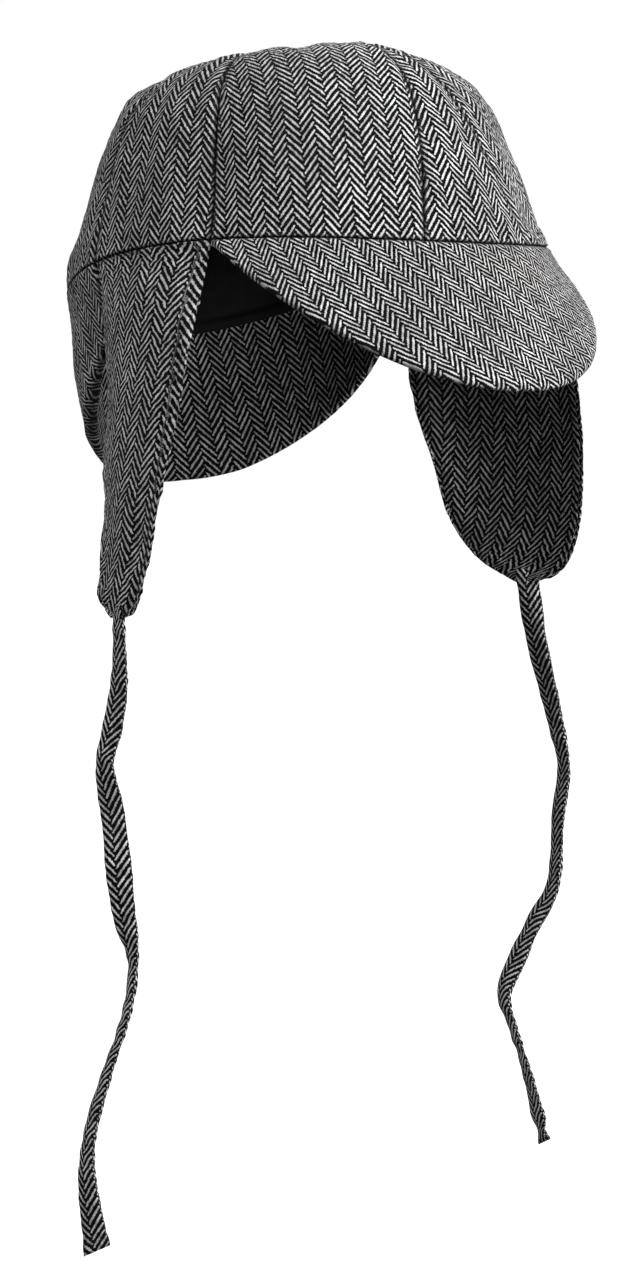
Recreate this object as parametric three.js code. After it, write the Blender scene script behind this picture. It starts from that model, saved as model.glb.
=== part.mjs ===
// A herringbone deerstalker hat, open below for a head.
// Units are millimetres. +Z is up, -Y is the front and -X is the wearer's right.
// The origin is the centre of the head opening, at the mean height of its rim.
import * as THREE from "three";

// Head opening: a rounded ellipse whose rim rises and dips as it goes round.
const HEAD_HALF_LENGTH = 100;
const HEAD_HALF_WIDTH = 83.7;
const HEAD_SQUARENESS = 2.16;
const RIM_FRONT_RISE = 12.5;
const RIM_SIDE_RISE = 6.4;
const RIM_TILT_SKEW = 0.8;

// Crown: eight gores that lean in, then round over to the top.
const CROWN_HEIGHT = 85.5;
const CROWN_LEAN_IN = 0.285;
const CROWN_SHOULDER = 5.7;
const CROWN_SHOULDER_FULLNESS = 2.65;
const CROWN_TOP_SET_BACK = 6.2;
const CROWN_TOP_TILT = 6.5;
const CROWN_TOP_RADIUS = 1;
const CROWN_RIM_BLEND = 0.1;
const GORE_THICKNESS = 2;
const GORE_PUFF = 1.2;
const GORE_LEAST_SHARE = 0.5;
const LINING_THICKNESS = 1;
const SEAM_GAP = 0.3;

// Each seam's angle from the front, at the rim and at the top, and the gore behind it.
const CROWN_SEAMS = [
  { rimAngle: -16.8, topAngle: -4, gore: "crown_front" },
  { rimAngle: 16.8, topAngle: 4, gore: "crown_front_left" },
  { rimAngle: 69.6, topAngle: 73.5, gore: "crown_side_left" },
  { rimAngle: 105.2, topAngle: 108, gore: "crown_rear_left" },
  { rimAngle: 152, topAngle: 158, gore: "crown_back" },
  { rimAngle: 208, topAngle: 202, gore: "crown_rear_right" },
  { rimAngle: 254.8, topAngle: 252, gore: "crown_side_right" },
  { rimAngle: 290.4, topAngle: 286.5, gore: "crown_front_right" },
];

// Peaks: stiffened crescents that hang from the rim in front and behind.
const PEAK_THICKNESS = 3;
const PEAK_CORNER_LENGTH = 1.6;
const PEAK_RIM_BLEND = 0.2;
const FRONT_PEAK = {
  middleAngle: 0,
  halfSpan: 69.6,
  length: 55.8,
  roundness: 0.93,
  sideFullness: 0,
  middleSlope: 69.1,
  slopeChange: [-16.5, -15.7],
  fan: 50.3,
};
const BACK_PEAK = {
  middleAngle: 180,
  halfSpan: 74.8,
  length: 64.1,
  roundness: 0.49,
  sideFullness: 0.25,
  middleSlope: 97.8,
  slopeChange: [6.9, 0],
  fan: 52.6,
};

// Ear flap: its front and rear edges at heights below the rim, for the wearer's left.
const FLAP_THICKNESS = 5;
const FLAP_EDGE_THINNING = 0.45;
const FLAP_SIDE_SHARPNESS = 6;
const FLAP_END_SHARPNESS = 30;
const FLAP_WIDTH = 75;
const FLAP_BULGE = 7;
const FLAP_RIM_BLEND = 0.12;
const FLAP_RIM_REACH = 0.22;
const FLAP_RIM_EASE = 1.5;
const FLAP_EDGES = [
  { z: -18, frontX: 94, frontY: -46, rearX: 81, rearY: 26 },
  { z: -37, frontX: 101, frontY: -48, rearX: 81.5, rearY: 24 },
  { z: -55, frontX: 104.5, frontY: -48, rearX: 83, rearY: 21.5 },
  { z: -80, frontX: 108.5, frontY: -45.5, rearX: 87.5, rearY: 17 },
  { z: -100, frontX: 111, frontY: -41, rearX: 94, rearY: 11 },
  { z: -112, frontX: 112, frontY: -36.5, rearX: 98.5, rearY: 5.5 },
  { z: -120.5, frontX: 112, frontY: -31, rearX: 102, rearY: -1.5 },
  { z: -125.5, frontX: 110.5, frontY: -25, rearX: 104.5, rearY: -9 },
  { z: -127, frontX: 109, frontY: -21.5, rearX: 106, rearY: -12.5 },
];
const FLAP_LEFT_LIFT = 0.967;
const FLAP_LIFT_REACH = 60;

// Ties: flat folded strips, each a route of drops below its flap and sideways swings.
const TIE_WIDTH = 9.2;
const TIE_THICKNESS = 2.2;
const TIE_SIDES = 8;
const TIE_EDGE_ROUNDING = 0.6;
const TIE_START_DROP = 0.6;
const TIE_SWING_DIRECTION = { x: 0.747, y: -0.665 };
const TIE_RIGHT_ROUTE = [
  { drop: 0, swing: 0 },
  { drop: 24, swing: 0 },
  { drop: 42, swing: -2.9 },
  { drop: 54, swing: -5.6 },
  { drop: 74, swing: -2.8 },
  { drop: 110, swing: 0.8 },
  { drop: 127, swing: 4 },
  { drop: 146, swing: 1.6 },
  { drop: 168, swing: -5.6 },
  { drop: 190, swing: -12.2 },
  { drop: 206, swing: -13.9 },
  { drop: 237, swing: -10.4 },
];
const TIE_LEFT_ROUTE = [
  { drop: 0, swing: 0 },
  { drop: 24, swing: 3.5 },
  { drop: 54, swing: 10.4 },
  { drop: 76, swing: 14.7 },
  { drop: 98, swing: 12.4 },
  { drop: 127, swing: 10 },
  { drop: 142, swing: 2.3 },
  { drop: 157, swing: -4.6 },
  { drop: 172, swing: -9.9 },
  { drop: 186, swing: -6.1 },
  { drop: 205, swing: -0.4 },
  { drop: 234, swing: 6.7 },
];

// How finely the curved cloth is faceted.
const GORE_GRID = { across: 6, along: 18 };
const LINING_GRID = { around: 48, along: 14 };
const PEAK_GRID = { across: 30, along: 6 };
const FLAP_GRID = { across: 10, along: 18 };
const TIE_STEPS = 44;
const RISE_SAMPLES = 600;
const RISE_CROWDING = 5;
const NORMAL_STEP = 1e-3;
const RIM_ANGLE_STEP = 0.01;
const CROWN_HINT_RISE = 1.5;
const PEAK_HINT_RISE = 0.3;
const GRID_END = 0.002;
const PEAK_GRID_END = 0.02;

const rad = THREE.MathUtils.degToRad;
const lerp = THREE.MathUtils.lerp;
const smooth = THREE.MathUtils.smoothstep;

const COLOURS = { tweed: 0x6e6e6e, lining: 0x070707 };

function signedPower(value, power) {
  return Math.sign(value) * Math.abs(value) ** power;
}

// A point on the rim; angle is measured from the front towards the wearer's left.
function rimPoint(angle) {
  const power = 2 / HEAD_SQUARENESS;
  const x = HEAD_HALF_WIDTH * signedPower(Math.sin(angle), power);
  const y = -HEAD_HALF_LENGTH * signedPower(Math.cos(angle), power);
  const z = RIM_FRONT_RISE * Math.cos(angle)
    - RIM_SIDE_RISE * Math.cos(2 * angle)
    + RIM_TILT_SKEW * Math.cos(3 * angle);
  return new THREE.Vector3(x, y, z);
}

function rimOutward(angle) {
  const along = rimPoint(angle + RIM_ANGLE_STEP).sub(rimPoint(angle - RIM_ANGLE_STEP));
  return new THREE.Vector3(-along.y, along.x, 0).negate().normalize();
}

// A point on the crown's outer surface; rise runs from 0 at the rim to 1 at the top.
function crownPoint(angle, rise) {
  const rim = rimPoint(angle);
  const shoulder = Math.max(1 - rise ** CROWN_SHOULDER, 0) ** (1 / CROWN_SHOULDER_FULLNESS);
  const spread = (1 - CROWN_LEAN_IN * rise) * shoulder;
  const top = CROWN_HEIGHT + CROWN_TOP_TILT * Math.cos(angle) * spread;
  return new THREE.Vector3(
    rim.x * spread,
    rim.y * spread + CROWN_TOP_SET_BACK * rise,
    lerp(rim.z, top, rise),
  );
}

// Rises that space the crown's facets evenly over its wall and shoulder.
function evenRises(count) {
  const quarter = Math.PI / 4;
  const rises = [0];
  const lengths = [0];
  let previous = crownPoint(quarter, 0);
  for (let k = 1; k <= RISE_SAMPLES; k += 1) {
    const rise = 1 - (1 - k / RISE_SAMPLES) ** RISE_CROWDING;
    const point = crownPoint(quarter, rise);
    if (Math.hypot(point.x, point.y - CROWN_TOP_SET_BACK * rise) < CROWN_TOP_RADIUS) break;
    lengths.push(lengths.at(-1) + point.distanceTo(previous));
    rises.push(rise);
    previous = point;
  }
  const picked = [];
  let k = 0;
  for (let i = 0; i <= count; i += 1) {
    const wanted = (lengths.at(-1) * i) / count;
    while (k < lengths.length - 1 && lengths[k] < wanted) k += 1;
    picked.push(rises[k]);
  }
  return picked;
}

function surfaceNormal(point, u, v, outwardHint) {
  const alongU = point(u + NORMAL_STEP, v).sub(point(u - NORMAL_STEP, v));
  const alongV = point(u, v + NORMAL_STEP).sub(point(u, v - NORMAL_STEP));
  const normal = alongU.cross(alongV).normalize();
  if (normal.dot(outwardHint) < 0) normal.negate();
  return normal;
}

function crownNormal(angle, rise) {
  const hint = rimOutward(angle).add(new THREE.Vector3(0, 0, CROWN_HINT_RISE));
  const safeRise = THREE.MathUtils.clamp(rise, GRID_END, 1 - GRID_END);
  return surfaceNormal(crownPoint, angle, safeRise, hint);
}

// At the rim every wall is cut level, so that crown, peaks and flaps meet face to face.
function inwardOffset(outward, normal, awayFromRim, thickness) {
  const direction = outward.clone().lerp(normal, awayFromRim).normalize();
  return direction.multiplyScalar(-thickness);
}

// Joins an outer and an inner grid of points into one closed body.
function closedSheet(outer, inner, wrapsAround) {
  const rows = outer.length;
  const columns = outer[0].length;
  const positions = [];
  for (const grid of [outer, inner]) {
    for (const row of grid) {
      for (const p of row) positions.push(p.x, p.y, p.z);
    }
  }
  const at = (layer, i, j) => layer * rows * columns + i * columns + (j % columns);
  const index = [];
  const quad = (a, b, c, d) => index.push(a, b, c, a, c, d);
  const lastColumn = wrapsAround ? columns : columns - 1;
  for (let i = 0; i < rows - 1; i += 1) {
    for (let j = 0; j < lastColumn; j += 1) {
      quad(at(0, i, j), at(0, i, j + 1), at(0, i + 1, j + 1), at(0, i + 1, j));
      quad(at(1, i, j), at(1, i + 1, j), at(1, i + 1, j + 1), at(1, i, j + 1));
    }
  }
  for (let j = 0; j < lastColumn; j += 1) {
    quad(at(0, 0, j), at(1, 0, j), at(1, 0, j + 1), at(0, 0, j + 1));
    quad(at(0, rows - 1, j), at(0, rows - 1, j + 1), at(1, rows - 1, j + 1), at(1, rows - 1, j));
  }
  if (!wrapsAround) {
    const end = columns - 1;
    for (let i = 0; i < rows - 1; i += 1) {
      quad(at(0, i, 0), at(0, i + 1, 0), at(1, i + 1, 0), at(1, i, 0));
      quad(at(0, i, end), at(1, i, end), at(1, i + 1, end), at(0, i + 1, end));
    }
  }
  return facingOut(positions, index);
}

function facingOut(positions, index) {
  let volume = 0;
  const corner = (k) => new THREE.Vector3().fromArray(positions, 3 * index[k]);
  for (let k = 0; k < index.length; k += 3) {
    volume += corner(k).dot(corner(k + 1).cross(corner(k + 2)));
  }
  if (volume < 0) index.reverse();
  const geometry = new THREE.BufferGeometry();
  geometry.setAttribute("position", new THREE.Float32BufferAttribute(positions, 3));
  geometry.setIndex(index);
  geometry.computeVertexNormals();
  return geometry;
}

function clothMesh(name, geometry, colour) {
  const material = new THREE.MeshStandardMaterial({ color: colour, roughness: 0.95, metalness: 0 });
  material.side = THREE.DoubleSide;
  const mesh = new THREE.Mesh(geometry, material);
  mesh.name = name;
  return mesh;
}

function seamAngle(seam, rise) {
  return rad(lerp(seam.rimAngle, seam.topAngle, rise));
}

// One gore of the crown, between its own seam and the next one round.
function goreGeometry(seam, nextSeam) {
  const turn = nextSeam.rimAngle < seam.rimAngle ? 2 * Math.PI : 0;
  const outer = [];
  const inner = [];
  for (const rise of evenRises(GORE_GRID.along)) {
    const seamLow = seamAngle(seam, rise);
    const seamHigh = seamAngle(nextSeam, rise) + turn;
    const edge = crownPoint(seamLow, rise);
    const radius = Math.hypot(edge.x, edge.y - CROWN_TOP_SET_BACK * rise);
    const widestMargin = ((seamHigh - seamLow) * (1 - GORE_LEAST_SHARE)) / 2;
    const margin = Math.min(SEAM_GAP / 2 / radius, widestMargin);
    const outerRow = [];
    const innerRow = [];
    for (let j = 0; j <= GORE_GRID.across; j += 1) {
      const share = j / GORE_GRID.across;
      const angle = lerp(seamLow + margin, seamHigh - margin, share);
      const normal = crownNormal(angle, rise);
      const puff = GORE_PUFF * Math.sin(Math.PI * share) * Math.sin(Math.PI * rise);
      const point = crownPoint(angle, rise);
      const away = smooth(rise, 0, CROWN_RIM_BLEND);
      outerRow.push(point.clone().addScaledVector(normal, puff));
      innerRow.push(point.clone().addScaledVector(normal, puff)
        .add(inwardOffset(rimOutward(angle), normal, away, GORE_THICKNESS)));
    }
    outer.push(outerRow);
    inner.push(innerRow);
  }
  return closedSheet(outer, inner, false);
}

// The lining is a thin shell inside the gores, open at the rim.
function liningGeometry() {
  const offsetOut = GORE_THICKNESS + SEAM_GAP;
  const offsetIn = offsetOut + LINING_THICKNESS;
  const layers = [offsetOut, offsetIn].map((offset) => {
    const grid = [];
    for (const rise of evenRises(LINING_GRID.along).slice(0, -1)) {
      const row = [];
      for (let j = 0; j < LINING_GRID.around; j += 1) {
        const angle = (2 * Math.PI * j) / LINING_GRID.around;
        const normal = crownNormal(angle, rise);
        const away = smooth(rise, 0, CROWN_RIM_BLEND);
        row.push(crownPoint(angle, rise).add(inwardOffset(rimOutward(angle), normal, away, offset)));
      }
      grid.push(row);
    }
    return grid;
  });
  return domeBody(layers[0], layers[1], offsetOut, offsetIn);
}

// Joins two nested domes at their rims and closes each of them at its top.
function domeBody(outer, inner, offsetOut, offsetIn) {
  const rows = outer.length;
  const columns = outer[0].length;
  const positions = [];
  for (const grid of [outer, inner]) {
    for (const row of grid) {
      for (const p of row) positions.push(p.x, p.y, p.z);
    }
  }
  const poles = [offsetOut, offsetIn].map((offset) => {
    positions.push(0, CROWN_TOP_SET_BACK, CROWN_HEIGHT - offset);
    return positions.length / 3 - 1;
  });
  const at = (layer, i, j) => layer * rows * columns + i * columns + (j % columns);
  const index = [];
  for (let j = 0; j < columns; j += 1) {
    for (let i = 0; i < rows - 1; i += 1) {
      index.push(at(0, i, j), at(0, i, j + 1), at(0, i + 1, j + 1));
      index.push(at(0, i, j), at(0, i + 1, j + 1), at(0, i + 1, j));
      index.push(at(1, i, j), at(1, i + 1, j + 1), at(1, i, j + 1));
      index.push(at(1, i, j), at(1, i + 1, j), at(1, i + 1, j + 1));
    }
    index.push(at(0, rows - 1, j), at(0, rows - 1, j + 1), poles[0]);
    index.push(at(1, rows - 1, j), poles[1], at(1, rows - 1, j + 1));
    index.push(at(0, 0, j), at(1, 0, j + 1), at(0, 0, j + 1));
    index.push(at(0, 0, j), at(1, 0, j), at(1, 0, j + 1));
  }
  return facingOut(positions, index);
}

// A point on a peak's upper surface; across runs from -1 to 1 and out from 0 to 1.
function peakPoint(peak, across, out) {
  const angle = rad(peak.middleAngle + across * peak.halfSpan);
  const squared = Math.min(across * across, 1);
  const crescent = (1 - squared) ** peak.roundness * (1 + peak.sideFullness * squared);
  const length = Math.hypot(peak.length * crescent, PEAK_CORNER_LENGTH);
  const slope = rad(peak.middleSlope + peak.slopeChange[0] * squared
    + peak.slopeChange[1] * squared * squared);
  const heading = rad(peak.middleAngle + across * peak.fan);
  const reach = length * out;
  const level = reach * Math.cos(slope);
  return rimPoint(angle).add(new THREE.Vector3(
    level * Math.sin(heading),
    -level * Math.cos(heading),
    -reach * Math.sin(slope) - SEAM_GAP,
  ));
}

function peakGeometry(peak) {
  const outer = [];
  const inner = [];
  const endMargin = SEAM_GAP / HEAD_HALF_WIDTH / rad(peak.halfSpan);
  for (let i = 0; i <= PEAK_GRID.along; i += 1) {
    const out = i / PEAK_GRID.along;
    const outerRow = [];
    const innerRow = [];
    for (let j = 0; j <= PEAK_GRID.across; j += 1) {
      const even = (2 * j) / PEAK_GRID.across - 1;
      const across = Math.sin((even * Math.PI) / 2) * (1 - endMargin);
      const angle = rad(peak.middleAngle + across * peak.halfSpan);
      const point = peakPoint(peak, across, out);
      const surface = (u, v) => peakPoint(peak, u, v);
      const safeAcross = THREE.MathUtils.clamp(across, PEAK_GRID_END - 1, 1 - PEAK_GRID_END);
      const hint = rimOutward(angle).add(new THREE.Vector3(0, 0, PEAK_HINT_RISE));
      const normal = surfaceNormal(surface, safeAcross, Math.max(out, PEAK_GRID_END), hint);
      const away = smooth(out, 0, PEAK_RIM_BLEND);
      outerRow.push(point);
      innerRow.push(point.clone().add(inwardOffset(rimOutward(angle), normal, away, PEAK_THICKNESS)));
    }
    outer.push(outerRow);
    inner.push(innerRow);
  }
  return closedSheet(outer, inner, false);
}

const flapFrontEdge = new THREE.CatmullRomCurve3([
  rimPoint(rad(CROWN_SEAMS[2].rimAngle)),
  ...FLAP_EDGES.map((row) => new THREE.Vector3(row.frontX, row.frontY, row.z)),
], false, "centripetal");
const flapRearEdge = new THREE.CatmullRomCurve3([
  rimPoint(rad(CROWN_SEAMS[3].rimAngle)),
  ...FLAP_EDGES.map((row) => new THREE.Vector3(row.rearX, row.rearY, row.z)),
], false, "centripetal");

// A point on the left flap's outer surface; across is -1 at the front edge, 1 at the rear.
function flapPoint(across, down) {
  const share = (across + 1) / 2;
  const front = flapFrontEdge.getPoint(down);
  const rear = flapRearEdge.getPoint(down);
  const chord = rear.clone().sub(front);
  const outward = new THREE.Vector3(chord.y, -chord.x, 0).normalize();
  const width = chord.length() / FLAP_WIDTH;
  const bulge = FLAP_BULGE * (1 - across * across) * width * width;
  const hanging = front.lerp(rear, share).addScaledVector(outward, bulge);
  const rimStart = rad(CROWN_SEAMS[2].rimAngle);
  const rimEnd = rad(CROWN_SEAMS[3].rimAngle);
  const atRim = rimPoint(lerp(rimStart, rimEnd, share));
  const nearRim = 1 - smooth(down, 0, FLAP_RIM_REACH);
  return hanging.lerp(atRim, nearRim ** FLAP_RIM_EASE).add(new THREE.Vector3(0, 0, -SEAM_GAP));
}

// The right flap hangs lowest; the left one is drawn up a little.
function placeFlapPoint(point, side) {
  if (side > 0) point.z *= lerp(1, FLAP_LEFT_LIFT, smooth(-point.z, 0, FLAP_LIFT_REACH));
  point.x *= side;
}

function flapGeometry(side) {
  const outer = [];
  const inner = [];
  const endMargin = SEAM_GAP / (FLAP_WIDTH / 2);
  for (let i = 0; i <= FLAP_GRID.along; i += 1) {
    const down = i / FLAP_GRID.along;
    const outerRow = [];
    const innerRow = [];
    for (let j = 0; j <= FLAP_GRID.across; j += 1) {
      const even = (2 * j) / FLAP_GRID.across - 1;
      const across = Math.sin((even * Math.PI) / 2) * (1 - endMargin);
      const rimAngle = rad(lerp(CROWN_SEAMS[2].rimAngle, CROWN_SEAMS[3].rimAngle, (across + 1) / 2));
      const point = flapPoint(across, down);
      const safeDown = THREE.MathUtils.clamp(down, GRID_END, 1 - GRID_END);
      const normal = surfaceNormal(flapPoint, across, safeDown, rimOutward(rimAngle));
      const away = smooth(down, 0, FLAP_RIM_BLEND);
      const edge = Math.max(Math.abs(across) ** FLAP_SIDE_SHARPNESS, down ** FLAP_END_SHARPNESS);
      const fullness = lerp(PEAK_THICKNESS / FLAP_THICKNESS, 1, away);
      const thickness = FLAP_THICKNESS * fullness * (1 - FLAP_EDGE_THINNING * edge);
      const offset = inwardOffset(rimOutward(rimAngle), normal, away, thickness);
      const ends = [point, point.clone().add(offset)];
      for (const end of ends) placeFlapPoint(end, side);
      outerRow.push(ends[0]);
      innerRow.push(ends[1]);
    }
    outer.push(outerRow);
    inner.push(innerRow);
  }
  return closedSheet(outer, inner, false);
}

// A tie leaves the middle of its flap's lower end and hangs along its own route.
function tieGeometry(side, route) {
  const start = flapPoint(0, 1);
  start.x -= FLAP_THICKNESS / 4;
  placeFlapPoint(start, side);
  start.z -= TIE_START_DROP;
  const points = route.map((stop) => new THREE.Vector3(
    start.x + stop.swing * TIE_SWING_DIRECTION.x,
    start.y + stop.swing * TIE_SWING_DIRECTION.y,
    start.z - stop.drop,
  ));
  const curve = new THREE.CatmullRomCurve3(points, false, "centripetal");
  const section = new THREE.Shape();
  for (let k = 0; k < TIE_SIDES; k += 1) {
    const turn = (2 * Math.PI * (k + 0.5)) / TIE_SIDES;
    const x = (TIE_THICKNESS / 2) * signedPower(Math.sin(turn), TIE_EDGE_ROUNDING);
    const y = (TIE_WIDTH / 2) * signedPower(Math.cos(turn), TIE_EDGE_ROUNDING);
    if (k === 0) section.moveTo(x, y);
    else section.lineTo(x, y);
  }
  section.closePath();
  return new THREE.ExtrudeGeometry(section, { steps: TIE_STEPS, extrudePath: curve });
}

const hat = new THREE.Group();
CROWN_SEAMS.forEach((seam, k) => {
  const nextSeam = CROWN_SEAMS[(k + 1) % CROWN_SEAMS.length];
  hat.add(clothMesh(seam.gore, goreGeometry(seam, nextSeam), COLOURS.tweed));
});
hat.add(clothMesh("crown_lining", liningGeometry(), COLOURS.lining));
hat.add(clothMesh("front_peak", peakGeometry(FRONT_PEAK), COLOURS.tweed));
hat.add(clothMesh("back_peak", peakGeometry(BACK_PEAK), COLOURS.tweed));
hat.add(clothMesh("ear_flap_left", flapGeometry(1), COLOURS.tweed));
hat.add(clothMesh("ear_flap_right", flapGeometry(-1), COLOURS.tweed));
hat.add(clothMesh("tie_left", tieGeometry(1, TIE_LEFT_ROUTE), COLOURS.tweed));
hat.add(clothMesh("tie_right", tieGeometry(-1, TIE_RIGHT_ROUTE), COLOURS.tweed));

export default hat;
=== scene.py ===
import math

import bpy
import numpy as np
from mathutils import Matrix, Vector


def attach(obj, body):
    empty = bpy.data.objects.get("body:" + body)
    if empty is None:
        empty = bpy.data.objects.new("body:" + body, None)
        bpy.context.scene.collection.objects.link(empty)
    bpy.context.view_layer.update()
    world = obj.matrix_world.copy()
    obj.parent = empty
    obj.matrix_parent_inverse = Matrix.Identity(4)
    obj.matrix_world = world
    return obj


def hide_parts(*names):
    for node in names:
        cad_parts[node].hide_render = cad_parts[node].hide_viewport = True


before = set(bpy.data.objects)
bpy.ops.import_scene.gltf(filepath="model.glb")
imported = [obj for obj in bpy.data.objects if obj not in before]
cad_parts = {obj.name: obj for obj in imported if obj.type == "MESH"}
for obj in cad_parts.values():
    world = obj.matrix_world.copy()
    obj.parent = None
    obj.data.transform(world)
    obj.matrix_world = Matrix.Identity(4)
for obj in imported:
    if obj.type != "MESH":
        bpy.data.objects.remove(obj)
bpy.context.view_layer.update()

MM = 0.001
BACKWARD = [0, 3, 2, 1]
RANDOM_SEED = 7

# Camera: the photograph's angle, seen from the wearer's right front.
CAMERA_AZIMUTH = math.radians(-41.69)
CAMERA_ELEVATION = math.radians(4.2)
CAMERA_ROLL = math.radians(-0.35)
CAMERA_DISTANCE = 1200
CAMERA_SIDE_SHIFT = 5.23
CAMERA_HEIGHT = -143.42
CAMERA_FOCAL_PIXELS = 3060
PHOTO_HEIGHT = 1280
SENSOR = 36
CLIP_NEAR = 0.02
CLIP_FAR = 60

# Head opening and crown, as in the solids.
HEAD_HALF_LENGTH = 100
HEAD_HALF_WIDTH = 83.7
HEAD_SQUARENESS = 2.16
RIM_FRONT_RISE = 12.5
RIM_SIDE_RISE = 6.4
RIM_TILT_SKEW = 0.8
CROWN_HEIGHT = 85.5
CROWN_LEAN_IN = 0.285
CROWN_SHOULDER = 5.7
CROWN_SHOULDER_FULLNESS = 2.65
CROWN_TOP_SET_BACK = 6.2
CROWN_TOP_TILT = 6.5
CROWN_TOP_HOLE = 0.9
CROWN_HINT_RISE = 1.5
CROWN_RIM_BLEND = 0.1
GORE_THICKNESS = 2
GORE_PUFF = 1.2
GORE_EDGE_ROUNDING = 1.1
GORE_ROWS = 96
GORE_LEAST_COLUMNS = 28
GORE_COLUMNS_EACH_DEGREE = 1.25
SEAM_SHADE = 1.55
FUZZ_LENGTH = 3.6
LINING_THICKNESS = 1
LINING_ROWS = 70
LINING_AROUND = 160
LINING_RADIUS = 90
SEAM_GAP = 0.3

# The lining's turned lower edge: drops below the rim, and how far each face is drawn in there.
HEM_STEP_IN = 1.7
LINING_HEM = [(3.2, 0.7, 0.5), (2.9, 0.4, 0.1), (1.8, 0.25, -0.3), (0.8, 0.1, -0.3)]

# Each seam's angle from the front, at the rim and at the top, then the gore behind it and
# how far its grain leans, in degrees.
CROWN_SEAMS = [
    (-16.8, -4, "crown_front", 0),
    (16.8, 4, "crown_front_left", -5),
    (69.6, 73.5, "crown_side_left", -2),
    (105.2, 108, "crown_rear_left", 0),
    (152, 158, "crown_back", 0),
    (208, 202, "crown_rear_right", 0),
    (254.8, 252, "crown_side_right", 2),
    (290.4, 286.5, "crown_front_right", 5),
]

# Dents (positive) and bumps: a line's two ends, the reach to either side and the depth, in mm.
CROWN_DENTS = [
    ((-60.9, 9.4, 66), (-79.1, 8.7, 20.4), 5.5, 1.3),
    ((-56, 30, 62), (-76, 23, 22), 6.5, -0.9),
    ((-53, 47, 61), (-46, 36, 70), 9, -2.2),
    ((-60, 60, 18), (-50, 48, 60), 12, 1.3),
    ((-62, 64, 16), (-62, 67, -6), 9, -1.6),
    ((-38, 24, 79), (-13, -26, 85.5), 13, 3.4),
    ((-30, -33, 82), (6, 7, 85.5), 6.5, 2.4),
    ((-10, 22, 84), (22, 14, 84), 20, 1.2),
    ((-5, -32, 85), (1, -34, 85), 6, -0.7),
    ((10, -40, 83.5), (31, -50.5, 77), 10, 3.3),
    ((34, -52, 73), (44, -56, 64), 8, -1.1),
    ((39, -60, 61), (44, -90, -4), 15, 3.9),
    ((-81, -32, 0), (-60, -25, 68), 12, 2.3),
    ((4.7, -83.6, 46), (7, -83, 43), 3.2, 0.9),
    ((-19.5, -84.5, 42), (-25, -94, 8), 3.6, 0.8),
    ((-12, -94, 20), (0, -97, 12), 3, 0.7),
    ((-6, -92, 24), (5, -95, 17), 3, -0.5),
    ((-50, -40, 66), (-62, -49, 32), 7, 0.9),
    ((-36, -46, 74), (-44, -62, 48), 8, -0.6),
    ((-24, -42, 80), (-30, -58, 62), 6, 0.7),
    ((60, -20, 66), (76, -14, 20), 7, 1.1),
    ((58, 22, 62), (70, 34, 24), 7, -0.8),
    ((20, 70, 62), (30, 84, 24), 8, 1.1),
    ((-18, 72, 62), (-20, 90, 20), 8, 0.9),
]

# Peaks. The grain says how the cloth lies: mm across and along its columns, each for a mm
# along the rim and a mm in from it. Places run from one corner (-1) to the other (1): the
# hem is let out by its reach in mm there, and the side swells between the first two.
# Each peak's hem_shade is how dark the painted shadow along one side of its hem is.
PEAK_THICKNESS = 3
PEAK_ROWS = 44
PEAK_COLUMNS = 150
PEAK_HINT_RISE = 0.3
PEAK_CORNER_LENGTH = 1.6
PEAK_RIM_BLEND = 0.2
FRONT_PEAK = {
    "middle_angle": 0,
    "half_span": 69.6,
    "length": 55.8,
    "roundness": 0.93,
    "side_fullness": 0,
    "middle_slope": 69.1,
    "slope_change": (-16.5, -15.7),
    "fan": 50.3,
    "grain": ((1.2, -0.75), (-0.498, -1.115)),
    "hem_places": (-1, 1),
    "hem_reach": (1.4, 1.4),
    "side_swell": (0.05, 1.0, 1.5),
    "tuck": 0,
    "hem_shade": 0,
}
BACK_PEAK = {
    "middle_angle": 180,
    "half_span": 74.8,
    "length": 64.1,
    "roundness": 0.49,
    "side_fullness": 0.25,
    "middle_slope": 97.8,
    "slope_change": (6.9, 0),
    "fan": 52.6,
    "grain": ((1, 0), (0, -1)),
    "hem_places": (-1, -0.35, -0.1, 0.2, 0.5, 0.8, 1),
    "hem_reach": (1.3, 1.3, -0.8, -0.6, -3.2, -4.8, -1.5),
    "side_swell": (0.25, 0.94, 1.9),
    "tuck": 2.6,
    "hem_shade": 0.9,
}

# Ear flap: height below the rim, then the front and rear edges' x and y, for the wearer's left.
FLAP_THICKNESS = 5
FLAP_WIDTH = 75
FLAP_ROWS = 150
FLAP_COLUMNS = 96
FLAP_BULGE = 7
FLAP_RIM_BLEND = 0.12
FLAP_RIM_REACH = 0.22
FLAP_RIM_EASE = 1.5
FLAP_LEFT_LIFT = 0.967
FLAP_LIFT_REACH = 60
FLAP_EDGES = [
    (-18, 94, -46, 81, 26),
    (-37, 101, -48, 81.5, 24),
    (-55, 104.5, -48, 83, 21.5),
    (-80, 108.5, -45.5, 87.5, 17),
    (-100, 111, -41, 94, 11),
    (-112, 112, -36.5, 98.5, 5.5),
    (-120.5, 112, -31, 102, -1.5),
    (-125.5, 110.5, -25, 104.5, -9),
    (-127, 109, -21.5, 106, -12.5),
]

# A crease near a flap's lower end: a line's two ends, its reach to either side, its depth.
FLAP_TWIST = ((112, -34, -84), (108, -24, -112), 4.5, 1.5)

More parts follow.
